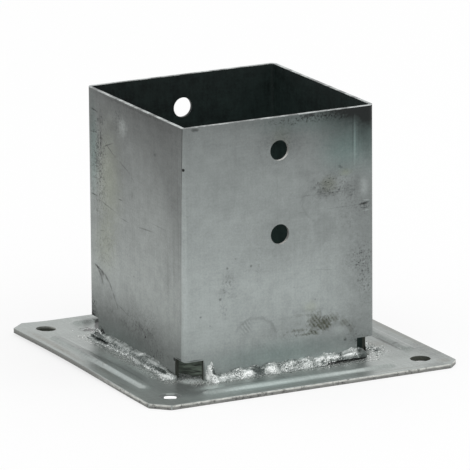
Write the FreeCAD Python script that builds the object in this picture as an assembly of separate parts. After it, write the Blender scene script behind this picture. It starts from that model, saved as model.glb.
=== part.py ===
import FreeCAD, Part
import math
import os

# Timber post that the sleeve takes
post_side = 120.0
post_clearance = 1.0

# Sleeve, folded from one sheet and closed by a weld down one corner
sleeve_wall = 2.0
sleeve_height = 151.0
bend_outer_radius = 4.0
seam_root_gap = 0.3
seam_corner_radius = 2.0

# Drain notches in the foot of the sleeve, one at each corner
notch_width = 12.0
notch_height = 12.0

# Cross bolts that pin the post, through the front and back walls
bolt_hole_diameter = 12.0
upper_hole_below_rim = 20.0
bolt_hole_spacing = 50.0

# Base plate, and how far it stands out round the sleeve
plate_margin = 37.5
plate_thickness = 3.0
plate_corner_cut = 10.0
anchor_hole_diameter = 12.0
anchor_hole_from_edge = 18.0

# Stiffening ribs pressed up in the plate, one along each edge
rib_from_edge = 14.0
rib_width = 10.0
rib_height = 1.5
rib_crown_radius = 5.0
rib_end_from_hole = 18.0

# Fillet welds laid by hand round the foot of the sleeve
weld_throat = 4.8
puddle_pitch = 8.0
puddle_swing = 0.3
puddle_swing_turn = 2.4

# Bare stretch of wall between each end of a weld and the corner that it runs to
front_weld_from_seam_corner = 13.5
front_weld_from_right_corner = 5.5
left_weld_from_seam_corner = 10.5
left_weld_from_back_corner = 5.5
hidden_weld_from_corner = 10.5

# Sizes that follow from those above
sleeve_inside = post_side + post_clearance
sleeve_outside = sleeve_inside + 2 * sleeve_wall
half_inside = sleeve_inside / 2
half_outside = sleeve_outside / 2
bend_inner_radius = bend_outer_radius - sleeve_wall
sleeve_foot = plate_thickness
sleeve_rim = plate_thickness + sleeve_height
upper_hole_height = sleeve_rim - upper_hole_below_rim
lower_hole_height = upper_hole_height - bolt_hole_spacing
plate_side = sleeve_outside + 2 * plate_margin
anchor_hole_spacing = plate_side - 2 * anchor_hole_from_edge
rib_centre_line = plate_side / 2 - rib_from_edge
rib_length = anchor_hole_spacing - 2 * rib_end_from_hole
puddle_radius = 2 * puddle_pitch
puddle_centre_depth = (puddle_radius - weld_throat) / math.sqrt(2)
weld_leg = math.sqrt(puddle_radius ** 2 - puddle_centre_depth ** 2) - puddle_centre_depth

# Length that a cutting tool runs past the faces it cuts
overrun = 1.0


def vec(x, y, z=0.0):
    return FreeCAD.Vector(x, y, z)


def line(start, end):
    return Part.LineSegment(start, end).toShape()


def bend_arc(centre, radius, start_angle):
    # A quarter turn about a vertical axis, anticlockwise from the start angle in degrees.
    points = []
    for step in (0.0, 45.0, 90.0):
        angle = math.radians(start_angle + step)
        points.append(centre + vec(radius * math.cos(angle), radius * math.sin(angle)))
    return Part.Arc(*points).toShape()


def joined_edges(parts):
    # Edges in order, with a straight one wherever an arc doesn't start where the last part ended.
    edges = []
    here = parts[0]
    for item in parts[1:]:
        if isinstance(item, FreeCAD.Vector):
            edges.append(line(here, item))
            here = item
        else:
            start = item.valueAt(item.FirstParameter)
            end = item.valueAt(item.LastParameter)
            if here.distanceToPoint(start) > 1e-6:
                edges.append(line(here, start))
            edges.append(item)
            here = end
    return edges


def block(low, high):
    size = high - low
    return Part.makeBox(size.x, size.y, size.z, low)


# Post sleeve

def folded_sheet_outline():
    # Seen from above, the sheet starts at the seam in the front left corner,
    # runs along the front and comes round anticlockwise to end on the left.
    bend_centre = half_outside - bend_outer_radius
    bends = [(vec(bend_centre, -bend_centre), -90.0),
             (vec(bend_centre, bend_centre), 0.0),
             (vec(-bend_centre, bend_centre), 90.0)]
    outer = [vec(-half_inside + seam_root_gap, -half_outside)]
    for centre, start_angle in bends:
        outer.append(bend_arc(centre, bend_outer_radius, start_angle))
    outer.append(vec(-half_outside, -half_inside + seam_root_gap))
    inner = [vec(-half_inside + seam_root_gap, -half_inside)]
    for centre, start_angle in bends:
        inner.append(bend_arc(centre, bend_inner_radius, start_angle))
    inner.append(vec(-half_inside, -half_inside + seam_root_gap))
    edges = joined_edges(outer) + joined_edges(inner)
    edges.append(line(outer[0], inner[0]))
    edges.append(line(outer[-1], inner[-1]))
    return Part.Wire(Part.__sortEdges__(edges))


def drain_notch_tool(side_x, side_y):
    # A block that takes the foot off both walls at one corner.
    reach = half_outside + overrun
    inner = half_outside - notch_width
    low = vec(min(side_x * reach, side_x * inner), min(side_y * reach, side_y * inner),
              sleeve_foot - overrun)
    high = vec(max(side_x * reach, side_x * inner), max(side_y * reach, side_y * inner),
               sleeve_foot + notch_height)
    return block(low, high)


def cross_bolt_tool(height):
    # One drilling through the front and back walls.
    start = vec(0, -half_outside - overrun, height)
    length = sleeve_outside + 2 * overrun
    return Part.makeCylinder(bolt_hole_diameter / 2, length, start, vec(0, 1, 0))


def post_sleeve():
    sheet = Part.Face(folded_sheet_outline())
    sheet.translate(vec(0, 0, sleeve_foot))
    sleeve = sheet.extrude(vec(0, 0, sleeve_height))
    tools = [cross_bolt_tool(upper_hole_height), cross_bolt_tool(lower_hole_height)]
    for side_x in (-1, 1):
        for side_y in (-1, 1):
            tools.append(drain_notch_tool(side_x, side_y))
    return sleeve.cut(tools)


# Weld that closes the sleeve

def corner_seam_weld():
    # It fills the open corner between the two sheet edges down to the root gap,
    # and is dressed to a small radius outside.
    seam_edge = half_inside - seam_root_gap
    arc_centre = vec(-half_outside + seam_corner_radius, -half_outside + seam_corner_radius)
    outline = joined_edges([vec(-seam_edge, -half_inside),
                            vec(-half_inside, -seam_edge),
                            vec(-half_outside, -seam_edge),
                            bend_arc(arc_centre, seam_corner_radius, 180.0),
                            vec(-seam_edge, -half_outside),
                            vec(-seam_edge, -half_inside)])
    section = Part.Face(Part.Wire(outline))
    section.translate(vec(0, 0, sleeve_foot + notch_height))
    return section.extrude(vec(0, 0, sleeve_height - notch_height))


# Base plate

def plate_blank():
    # A square with its four corners cut off at 45 degrees.
    half = plate_side / 2
    cut = half - plate_corner_cut
    corners = [vec(-cut, -half), vec(cut, -half), vec(half, -cut), vec(half, cut),
               vec(cut, half), vec(-cut, half), vec(-half, cut), vec(-half, -cut)]
    outline = Part.makePolygon(corners + [corners[0]])
    return Part.Face(outline).extrude(vec(0, 0, plate_thickness))


def rib_flank_slope():
    # The flank runs from the rib's edge up to where it touches the crown arc.
    half_width = rib_width / 2
    drop = rib_crown_radius - rib_height
    edge_angle = math.atan2(half_width, drop)
    return edge_angle - math.acos(rib_crown_radius / math.hypot(half_width, drop))


def rib_half_section(level, crown_radius, depth):
    # Half of the rib's cross section in the XZ plane, centred on the Z axis: a crown arc,
    # then a straight flank down to the sheet's surface at the level given.
    slope = rib_flank_slope()
    crown_centre = level + rib_height - crown_radius
    half_width = (crown_radius - (level - crown_centre) * math.cos(slope)) / math.sin(slope)

    def on_crown(angle):
        return vec(crown_radius * math.sin(angle), 0, crown_centre + crown_radius * math.cos(angle))

    crown = Part.Arc(on_crown(0.0), on_crown(slope / 2), on_crown(slope)).toShape()
    foot = vec(0, 0, level - depth)
    return Part.Face(Part.Wire(joined_edges([foot, on_crown(0.0), crown, vec(half_width, 0, level),
                                             vec(half_width, 0, foot.z), foot])))


def rib_body(level, crown_radius, depth):
    # The half section is turned about the rib's two ends and run along between them.
    run = rib_length - rib_width
    half_section = rib_half_section(level, crown_radius, depth)
    pieces = []
    for side in (-1, 1):
        half_section.rotate(vec(0, 0), vec(0, 0, 1), side * 90.0)
        end = half_section.revolve(vec(0, 0), vec(0, 0, 1), 180.0)
        end.translate(vec(-side * run / 2, 0))
        strip = half_section.extrude(vec(run, 0, 0))
        strip.translate(vec(-run / 2, 0))
        half_section.rotate(vec(0, 0), vec(0, 0, 1), -side * 90.0)
        pieces += [end, strip]
    return pieces[0].fuse(pieces[1:]).removeSplitter()


def base_plate():
    # Pressing keeps the sheet's thickness, so the underside follows the top at that distance.
    swell = rib_body(plate_thickness, rib_crown_radius, plate_thickness / 2)
    hollow = rib_body(0.0, rib_crown_radius - plate_thickness, overrun)
    for body in (swell, hollow):
        body.translate(vec(0, -rib_centre_line))
    plate = plate_blank()
    for quarter in range(4):
        turned = []
        for body in (swell, hollow):
            copy = body.copy()
            copy.rotate(vec(0, 0), vec(0, 0, 1), 90.0 * quarter)
            turned.append(copy)
        plate = plate.fuse(turned[0]).cut(turned[1])
    holes = []
    for side_x in (-1, 1):
        for side_y in (-1, 1):
            centre = vec(side_x * anchor_hole_spacing / 2, side_y * anchor_hole_spacing / 2, -overrun)
            holes.append(Part.makeCylinder(anchor_hole_diameter / 2,
                                           plate_thickness + 2 * overrun, centre))
    return plate.cut(holes).removeSplitter()


# Fillet welds

def fillet_weld(start, end):
    # A row of overlapping puddles along X in the corner between the plate and the front wall.
    # Each is part of a ball whose centre lies inside the joint, so that its face stands
    # only a little proud of a straight line between the two legs. The balls' sizes swing
    # from one to the next, as a hand does.
    ball_y = -half_outside + puddle_centre_depth
    ball_z = plate_thickness - puddle_centre_depth
    end_reach = math.sqrt(puddle_radius ** 2 - 2 * puddle_centre_depth ** 2)
    first = start + end_reach
    last = end - end_reach
    steps = max(1, round((last - first) / puddle_pitch))
    reach = weld_leg + puddle_centre_depth + puddle_swing
    balls = []
    for index in range(steps + 1):
        x = first + (last - first) * index / steps
        radius = puddle_radius + puddle_swing * math.sin(puddle_swing_turn * index)
        balls.append(Part.makeSphere(radius, vec(x, ball_y, ball_z), vec(1, 0, 0)))
    corner = block(vec(start - reach, -half_outside - reach, plate_thickness),
                   vec(end + reach, -half_outside, plate_thickness + reach))
    return balls[0].fuse(balls[1:]).common(corner).removeSplitter()


def turned_weld(start, end, quarter_turns):
    weld = fillet_weld(start, end)
    weld.rotate(vec(0, 0), vec(0, 0, 1), 90.0 * quarter_turns)
    return weld


def weld_front():
    return turned_weld(-half_outside + front_weld_from_seam_corner,
                       half_outside - front_weld_from_right_corner, 0)


def weld_right():
    return turned_weld(-half_outside + hidden_weld_from_corner,
                       half_outside - hidden_weld_from_corner, 1)


def weld_back():
    return turned_weld(-half_outside + hidden_weld_from_corner,
                       half_outside - hidden_weld_from_corner, 2)


def weld_left():
    return turned_weld(-half_outside + left_weld_from_back_corner,
                       half_outside - left_weld_from_seam_corner, 3)


os.makedirs("parts", exist_ok=True)
for make_piece in (base_plate, post_sleeve, corner_seam_weld,
                   weld_front, weld_right, weld_back, weld_left):
    piece = make_piece()
    name = make_piece.__name__
    piece.exportStep("parts/" + name + ".step")
    print(name, piece.ShapeType, len(piece.Solids), piece.isValid(), round(piece.Volume, 1))
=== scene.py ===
import math

import bmesh
import bpy
import numpy as np
from mathutils import Matrix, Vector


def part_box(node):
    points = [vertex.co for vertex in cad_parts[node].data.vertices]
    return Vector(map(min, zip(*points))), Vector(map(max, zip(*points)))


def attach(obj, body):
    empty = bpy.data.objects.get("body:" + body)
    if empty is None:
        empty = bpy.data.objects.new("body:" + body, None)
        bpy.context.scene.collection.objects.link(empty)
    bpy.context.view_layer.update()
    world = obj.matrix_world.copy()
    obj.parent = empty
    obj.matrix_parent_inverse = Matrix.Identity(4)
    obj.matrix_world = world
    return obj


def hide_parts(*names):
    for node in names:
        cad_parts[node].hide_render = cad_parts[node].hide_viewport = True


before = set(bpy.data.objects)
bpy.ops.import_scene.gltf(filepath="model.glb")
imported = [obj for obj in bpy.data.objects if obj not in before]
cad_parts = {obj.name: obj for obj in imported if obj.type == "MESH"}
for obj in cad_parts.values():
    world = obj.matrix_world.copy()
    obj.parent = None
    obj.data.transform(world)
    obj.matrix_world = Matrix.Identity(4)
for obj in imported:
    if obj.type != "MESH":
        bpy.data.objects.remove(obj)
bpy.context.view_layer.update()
mm = 0.001

halfPlate = float(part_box("base_plate")[1][0]) / mm
sleeveLow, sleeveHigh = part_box("post_sleeve")
halfSleeve = float(sleeveHigh[0]) / mm
plateTop = float(sleeveLow[2]) / mm
sleeveRim = float(sleeveHigh[2]) / mm
print("frame loaded: plate %.0f mm, sleeve %.0f mm" % (2 * halfPlate, 2 * halfSleeve))


# Camera

camera = dict(place=(-1601.5, -3109.9, 977.3), yaw=27.29, down=14.55, roll=-0.44, focal=6146.4,
              photoWidth=470, sensor=36.0, clip=(0.1, 50.0))  # place in mm, focal and photoWidth in pixels


def axesMatrix(*axes):
    return Matrix(np.column_stack(axes).tolist()).to_4x4()


def placeCamera(settings):
    # Yaw turns the view from +Y towards +X, down tips it, roll turns it about its own axis.
    yaw, down, roll = [math.radians(settings[key]) for key in ("yaw", "down", "roll")]
    ahead = np.array([math.sin(yaw) * math.cos(down), math.cos(yaw) * math.cos(down), -math.sin(down)])
    level = np.array([math.cos(yaw), -math.sin(yaw), 0.0])
    upright = np.cross(level, ahead)
    right = math.cos(roll) * level + math.sin(roll) * upright
    top = -math.sin(roll) * level + math.cos(roll) * upright
    data = bpy.data.cameras.new("viewCamera")
    data.sensor_width = settings["sensor"]
    data.lens = settings["focal"] / settings["photoWidth"] * data.sensor_width
    data.clip_start, data.clip_end = settings["clip"]
    seen = bpy.data.objects.new("viewCamera", data)
    spot = Matrix.Translation([value * mm for value in settings["place"]])
    seen.matrix_world = spot @ axesMatrix(right, top, -ahead)
    bpy.context.collection.objects.link(seen)
    bpy.context.scene.camera = seen


placeCamera(camera)
bpy.context.scene.view_settings.view_transform = "Standard"
print("camera placed")


# Node helpers

numberKind, vectorKind = "NodeSocketFloat", "NodeSocketVector"


def isSocket(value):
    return isinstance(value, bpy.types.NodeSocket)


def setInputs(node, inputs):
    # Links the sockets among the inputs and sets the others. A colour is given by its three parts.
    for name, value in inputs.items():
        socket = node.inputs[name]
        if isSocket(value):
            node.id_data.links.new(value, socket)
        else:
            socket.default_value = (*value, 1) if socket.type == "RGBA" else value


def addNode(kind, inputs, tree=None, **settings):
    # It goes into the tree that its linked inputs are in, unless a tree is given.
    tree = tree or next(value.id_data for value in inputs.values() if isSocket(value))
    made = tree.nodes.new(kind)
    for name, value in settings.items():
        setattr(made, name, value)
    setInputs(made, inputs)
    return made


def maths(operation, *values, clamp=False):
    inputs = dict(enumerate(values))
    return addNode("ShaderNodeMath", inputs, operation=operation, use_clamp=clamp).outputs[0]


def inTurn(operation):
    # Gives a function of two values or more that works through them from the left.
    def worked(first, *others, clamp=False):
        for other in others[:-1]:
            first = maths(operation, first, other)
        return maths(operation, first, others[-1], clamp=clamp)
    return worked


times, plus, minus, divided = [inTurn(name) for name in ("MULTIPLY", "ADD", "SUBTRACT", "DIVIDE")]
largest, smallest = inTurn("MAXIMUM"), inTurn("MINIMUM")
greater, less = inTurn("GREATER_THAN"), inTurn("LESS_THAN")


def timesPlus(value, factor, added):
    return maths("MULTIPLY_ADD", value, factor, added)


def absolute(value):
    return maths("ABSOLUTE", value)


def distance(across, up):
    return maths("SQRT", plus(times(across, across), times(up, up)))


def ramp(value, low, high, toLow=0.0, toHigh=1.0):
    # A smooth step from toLow at low to toHigh at high.
    inputs = {"Value": value, "From Min": low, "From Max": high, "To Min": toLow, "To Max": toHigh}
    return addNode("ShaderNodeMapRange", inputs, interpolation_type="SMOOTHSTEP").outputs["Result"]


def mixValue(factor, first, second):
    return addNode("ShaderNodeMix", {0: factor, 2: first, 3: second}).outputs[0]


def mixColour(factor, first, second, blend="MIX"):
    inputs = {0: factor, 6: first, 7: second}
    return addNode("ShaderNodeMix", inputs, data_type="RGBA", blend_type=blend).outputs[2]


def parts(vector):
    return addNode("ShaderNodeSeparateXYZ", {0: vector}).outputs


def joined(*values):
    return addNode("ShaderNodeCombineXYZ", dict(enumerate(values))).outputs[0]


def scaled(vector, factor):
    return addNode("ShaderNodeVectorMath", {0: vector, "Scale": factor}, operation="SCALE").outputs[0]


def noise(place, scale, detail, roughness, stretch=None):
    if stretch:
        place = addNode("ShaderNodeVectorMath", {0: place, 1: stretch}, operation="MULTIPLY").outputs[0]
    inputs = {"Vector": place, "Scale": scale, "Detail": detail, "Roughness": roughness}
    return addNode("ShaderNodeTexNoise", inputs).outputs["Fac"]


def swing(*settings):
    # Noise about 0.
    return minus(noise(*settings), 0.5)


def newGroup(name, inputs, outputs):
    tree = bpy.data.node_groups.new(name, "ShaderNodeTree")
    for way, sockets in (("INPUT", inputs), ("OUTPUT", outputs)):
        for label, kind in sockets.items():
            tree.interface.new_socket(label, in_out=way, socket_type=kind)
    return tree, tree.nodes.new("NodeGroupInput").outputs, tree.nodes.new("NodeGroupOutput")


def useGroup(group, **inputs):
    return addNode("ShaderNodeGroup", inputs, node_tree=group).outputs


def newMaterial(name):
    # Gives the material, its shader and the place on the object in mm.
    made = bpy.data.materials.new(name)
    made.use_nodes = True
    tree = made.node_tree
    tree.nodes.clear()
    shader = tree.nodes.new("ShaderNodeBsdfPrincipled")
    addNode("ShaderNodeOutputMaterial", {"Surface": shader.outputs["BSDF"]})
    return made, shader, scaled(tree.nodes.new("ShaderNodeTexCoord").outputs["Object"], 1 / mm)


def setShader(shader, inputs, height, bump):
    # Bump is its strength and its depth in mm.
    strength, depth = bump
    raised = addNode("ShaderNodeBump", {"Height": height, "Strength": strength, "Distance": depth * mm})
    setInputs(shader, {**inputs, "Normal": raised.outputs[0]})


# Shared effects

markInputs = dict(Running=vectorKind, Centre=vectorKind, Size=vectorKind, Turn=vectorKind,
                  Rough=numberKind, Ragged=numberKind, Edge=numberKind, Change=numberKind)


def markGroup(name, maskOf):
    # Splits a running vector (place across, place up, tone so far), finds the place within a mark and
    # its distance from the mark's centre, and adds Change times the mark's mask to the tone.
    tree, given, result = newGroup(name, markInputs, dict(Running=vectorKind))
    across, up, tone = parts(given["Running"])
    inputs = {"Vector": joined(across, up), "Location": given["Centre"], "Rotation": given["Turn"],
              "Scale": given["Size"]}
    local = addNode("ShaderNodeMapping", inputs, vector_type="TEXTURE").outputs[0]
    reach = addNode("ShaderNodeVectorMath", {0: local}, operation="LENGTH").outputs["Value"]
    tone = timesPlus(maskOf(given, reach, local), given["Change"], tone)
    setInputs(result, dict(Running=joined(across, up, tone)))
    return tree


def softMask(given, reach, local):
    # An elliptic patch: 1 inside, falling to 0 at a rim that noise makes ragged.
    return ramp(timesPlus(given["Rough"], given["Ragged"], reach), 1.0, given["Edge"])


def arcMask(given, reach, local):
    # The upper half of an elliptic ring, with its ends fading out: Edge is its width as a share of its size.
    away = absolute(timesPlus(given["Rough"], given["Ragged"], minus(reach, 1.0)))
    return times(ramp(away, given["Edge"], 0.0), ramp(parts(local)[1], -0.1, 0.5))


# Scale, detail, roughness, stretch and share of each layer of the sheet's skin.
skinLayers = dict(specks=(0.9, 3.0, 0.7, None, 0.38), mottles=(0.13, 3.0, 0.6, None, 0.30),
                  clouds=(0.028, 2.0, 0.5, None, 0.22), levelLines=(0.9, 2.0, 0.6, (0.10, 0.10, 1.1), 0.12),
                  uprightLines=(0.6, 2.0, 0.6, (1.1, 1.1, 0.03), 0.12))


def sheetGrainGroup(layers):
    # Skin of zinc-coated sheet: Tone swings about 0 and Height drives a bump.
    tree, given, result = newGroup("sheetGrain", dict(Position=vectorKind),
                                   dict(Tone=numberKind, Height=numberKind))
    tone, swings = 0.0, {}
    for name, (*settings, share) in layers.items():
        swings[name] = swing(given["Position"], *settings)
        tone = timesPlus(swings[name], share, tone)
    setInputs(result, dict(Tone=tone, Height=plus(swings["specks"], swings["levelLines"])))
    return tree


def hatchGroup():
    # Slanting bristle lines, as a brush leaves them: Mask runs from 0 to 1.
    tree, given, result = newGroup("brushHatch", dict(Position=vectorKind, Pitch=numberKind, Turn=vectorKind),
                                   dict(Mask=numberKind))
    turned = addNode("ShaderNodeMapping", {"Vector": given["Position"], "Rotation": given["Turn"]}).outputs[0]
    wander = times(noise(given["Position"], 0.16, 3.0, 0.6), 7.0)
    phase = plus(divided(times(parts(turned)[0], 2 * math.pi), given["Pitch"]), wander)
    setInputs(result, dict(Mask=timesPlus(maths("SINE", phase), 0.5, 0.5)))
    return tree


softMark, arcMark = markGroup("softMark", softMask), markGroup("arcMark", arcMask)
sheetGrain = sheetGrainGroup(skinLayers)
brushHatch = hatchGroup()


def marks(ragged, edge, rows):
    # A row is centre across, centre up, half width, half height, change of tone, tilt in degrees,
    # raggedness and where the rim starts to fade, as a share of the mark's size. The last three may be
    # left out: the tilt is then 0, and the raggedness and the rim are the list's own.
    return [row + (0, ragged, edge)[len(row) - 5:] for row in rows]


def addMarks(tone, place, soft, arcs=()):
    # In an arc, the ring's width as a share of its size takes the place of the rim.
    rough = timesPlus(noise(joined(*place), 0.4, 4.0, 0.65), 2.5, -1.25)
    running = joined(*place, tone)
    for group, rows in ((softMark, soft), (arcMark, arcs)):
        for across, up, halfWidth, halfHeight, change, tilt, ragged, edge in rows:
            running = useGroup(group, Running=running, Rough=rough, Ragged=ragged, Edge=edge, Change=change,
                               Centre=(across, up, 0), Size=(halfWidth, halfHeight, 1),
                               Turn=(0, 0, math.radians(tilt)))[0]
    return parts(running)[2]


# Sleeve: zinc-coated sheet

# A fade is painted shade and reflection on a wall: how fast the tone falls per mm above the height it
# starts from, how much darker the foot is, and from and to which height that foot clears.
sleeveFinish = dict(
    frontLitColour=(0.346, 0.378, 0.370), sideShadedColour=(0.332, 0.357, 0.345), insideShadeColour=(0.006, 0.008, 0.008),
    insideGlow=(0.0036, 0.0058, 0.0053), scorchColour=(0.078, 0.084, 0.060), rimHighlightColour=(0.36, 0.38, 0.375),
    cutLitColour=(0.50, 0.50, 0.48), notchShadeColour=(0.035, 0.040, 0.032), tealColour=(0.80, 1.0, 0.97),
    oliveColour=(1.0, 1.0, 0.86), metallic=0.6, roughness=0.48, bump=(0.06, 0.4),
    paintedFadeFrom=50.0, frontPaintedFade=(0.0046, 0.13, 12, 26), leftPaintedFade=(0.0064, 0.36, 12, 46),
    otherPaintedFade=(0.0050, 0.20, 14, 27), seamStrip=3.0, seamNarrowing=-0.028, frontMargin=2.0, hatchPitch=1.9,
    hatchTilt=-36, bristles=-0.13, frontDots=0.42, leftDots=0.52, scuffs=-0.36, leftGrain=0.3, darkest=0.03,
    boltHeights=(134.0, 84.0), boltRadius=6.05, wall=1.95, notch=12.0, rimDepth=0.25)

# Front wall, seen from in front: across is X and up is Z, in mm.
frontMarks = dict(
    # Painted light and shade: darkening towards the rim and the right edge, a darker foot, shade under the
    # front bead's lifted toe and a lighter strip along the seam.
    paintedShading=marks(0.2, 0, [
        (70, 152, 112, 46, -0.24, 0, 0.05), (67, 55, 44, 64, -0.36, 0, 0.1),
        (60, 100, 62, 48, -0.16, 0, 0.1), (36, 22, 34, 20, -0.12), (56, 153, 42, 15, -0.14, -8, 0.1),
        (0, 153, 80, 7, -0.08), (59, 138, 9.5, 22, -0.12, 0, 0.1, 0.4), (15, 14, 50, 9, -0.1, 0, 0.15),
        (2, 142, 22, 18, -0.13, 0, 0.25), (46, 150, 36, 26, -0.18, 0, 0.05), (2, 80, 32, 34, -0.12),
        (8, 26, 26, 14, -0.07, 0, 0.3), (44, 5, 13, 2.6, -0.5, 0, 0.2, 0.5), (54, 18, 18, 24, -0.12),
        (-6, 28, 26, 9, -0.08, 0, 0.3), (-62, 80, 2.2, 90, 0.14, 0, 0, 0.2)]),
    patches=marks(0.8, 0.1, [
        (55.5, 106, 4.2, 9, 0.22, 3, 0.35), (42, 111, 10, 7, 0.1, 15, 0.6), (27, 107, 5, 9, -0.1, -15, 0.5),
        (33, 110, 12, 9, -0.1, 10, 0.8, 0), (-33.5, 62, 5, 6, -0.13, 4, 0.8, 0),
        (-38, 54.5, 6, 4.5, -0.13, 20, 0.8, 0), (-32, 51, 3.5, 4, -0.1),
        (29, 84, 9, 11, -0.07, 0, 0.2, 0.6), (-54.5, 152.5, 3.5, 1.6, -0.3, 0, 0.5, 0.2),
        (19, 152.5, 6, 1.8, -0.2, 0, 0.7, 0.2), (0, 121, 9, 4, -0.06, 0, 0.6),
        (15, 118, 7, 6, -0.06, 0, 0.5), (40, 119.5, 2.2, 1.1, -0.22, -30, 0.6, 0.2),
        (43, 108, 3.5, 3, -0.12, 0, 0.8, 0.2), (-14, 30, 8, 6, 0.06, -20, 0.4), (39, 22, 7, 5, 0.1, 0, 0.4),
        (29, 27, 5, 5.2, -0.3, 0, 0.6, 0), (26, 27.5, 10, 8, -0.16, 0, 0.5, 0),
        (-50, 12, 8, 5, 0.05, 0, 0.5), (47, 108, 10, 10, -0.08, 0, 0.8, 0),
        (31, 106, 12, 10, -0.1, 0, 0.9, 0), (22, 112, 6, 5, -0.08, 0, 0.8, 0), (51, 58, 9, 22, -0.06),
        (46, 104, 4, 5, -0.1), (20, 36, 20, 2.2, -0.1, -2, 0.9)]),
    lines=marks(0.1, 0.1, [
        (49.4, 134, 0.75, 21, 0.2, 0, 0.05), (48.2, 104, 0.5, 14, 0.1), (47.9, 134, 0.6, 20, -0.08),
        (52, 134, 1.2, 18, -0.05), (35, 104.8, 27, 0.55, -0.13, 0.6, 0.05), (18, 104.9, 4, 0.7, -0.14),
        (40, 95.4, 20, 0.5, -0.13, 0.5, 0.05), (14, 95.2, 4, 0.5, -0.1),
        (28.5, 59.3, 10.5, 0.5, -0.14, -7, 0.05), (-20, 33.2, 42, 0.45, -0.05, 0.6, 0.05),
        (-1.5, 100, 0.6, 26, -0.05), (2, 33, 14, 0.5, -0.07, 0.5, 0.05),
        (55, 95.8, 4.5, 0.9, -0.38, 8, 0.4, 0.3), (57, 97.6, 3, 0.6, 0.3, -6, 0.3, 0.3),
        (56, 93.2, 3.5, 0.6, -0.2, -4, 0.4, 0.3), (57, 91.6, 3, 0.5, 0.2, 6, 0.3, 0.3),
        (-56.2, 15.6, 6.8, 0.55, -0.5, 0, 0.2, 0.3), (-50, 9.5, 0.5, 6.5, -0.5, 0, 0.2, 0.3)]),
    spots=marks(0.2, 0.3, [
        (-62, 129.5, 0.9, 1.2, -0.9), (-34.5, 68, 1, 1, -0.42), (-39.2, 50, 1.1, 1.3, -0.5),
        (-19, 67.5, 1.1, 1.2, -0.42), (-52, 41, 0.9, 0.8, -0.42), (23, 42, 1, 0.8, -0.3),
        (42.5, 15.6, 1.5, 1.6, -0.42, 0, 0.3), (42.4, 16, 0.6, 0.7, 0.4), (-46, 35, 0.7, 0.7, -0.25),
        (-29, 73, 0.7, 0.7, -0.25), (9, 51, 0.6, 0.6, -0.2), (-36, 38, 0.8, 1.4, -0.12, 0, 0.4, 0.2)]))
frontArcs = marks(0.15, 0.14, [(-16.5, 24, 13.5, 12, -0.19, -12), (37, 13, 12, 13, -0.12, -25, 0.15, 0.2),
                               (30, 96, 10, 17, -0.08, 60, 0.15, 0.12)])
# Fine dark specks lie in these patches.
frontSpeckles = marks(0.6, 0, [
    (56, 54, 8, 26, 1), (50, 63, 13, 9, 0.7, 0, 0.7), (33, 109, 14, 11, 0.7, 10),
    (-34, 58, 7, 11, 0.8, 10, 0.7), (-37, 44, 4, 9, 0.7, 10, 0.8), (56, 94, 5, 5, 1, 0, 0.5),
    (10, 23, 16, 3, 0.9), (24, 151, 44, 4, 0.8), (-14, 70, 4, 16, 0.4, 0, 0.8), (28, 28, 12, 8, 0.7, -20),
    (46, 22, 6, 8, 0.6, 20), (0, 136, 18, 20, 0.3), (45, 100, 14, 34, 0.35, 0, 0.5), (52, 14, 9, 6, 0.8)])
frontHatchPatches = marks(0.3, 0, [(-22.5, 31, 5.5, 6.5, 1.9, -20, 0.3, 0.1), (-8, 18, 16, 9, 0.45, -20),
                                   (46, 24, 6, 7, 0.5), (-52, 10, 5, 5, 0.3, 0, 0.5, 0.1)])
# Teal tints; the one at the top right goes with the painted reflection that darkens that corner.
tealPatches = marks(0.2, 0, [(62, 140, 50, 34, 1, 0, 0.1), (20, 150, 50, 12, 0.5), (0, 12, 64, 12, 0.45),
                             (40, 128, 20, 18, 0.4)])
olivePatches = marks(0.4, 0.1, [(32, 110, 8, 7, 0.7), (20, 38, 7, 5, 0.5, 0, 0.5),
                                (43, 116, 6, 3, 0.8, 0, 0.5), (1, 140, 9, 12, 0.4)])
scorchMarks = marks(0.7, 0.1, [
    (22.5, 29, 6.4, 7.4, 0.9, 30, 0.6, 0.3), (29, 26.6, 5.6, 5, 1.25, 0, 0.5, 0.4),
    (35.2, 29.4, 5, 4, 0.8, -10), (41.8, 25.5, 4.4, 4, 0.55, -30), (46.6, 21.5, 2.8, 5.2, 0.32, 15),
    (20.5, 23, 4.5, 2, 0.8, -15, 1), (13, 24.6, 8.5, 1.3, 0.7, -6, 1.1, 0.2),
    (16, 21.7, 6, 1, 0.7, 0, 1.1, 0.2), (23, 21.8, 4, 1.6, 0.9, -20, 0.8, 0.2),
    (14, 33.6, 9, 1.2, 0.3, -3, 0.9)])

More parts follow.
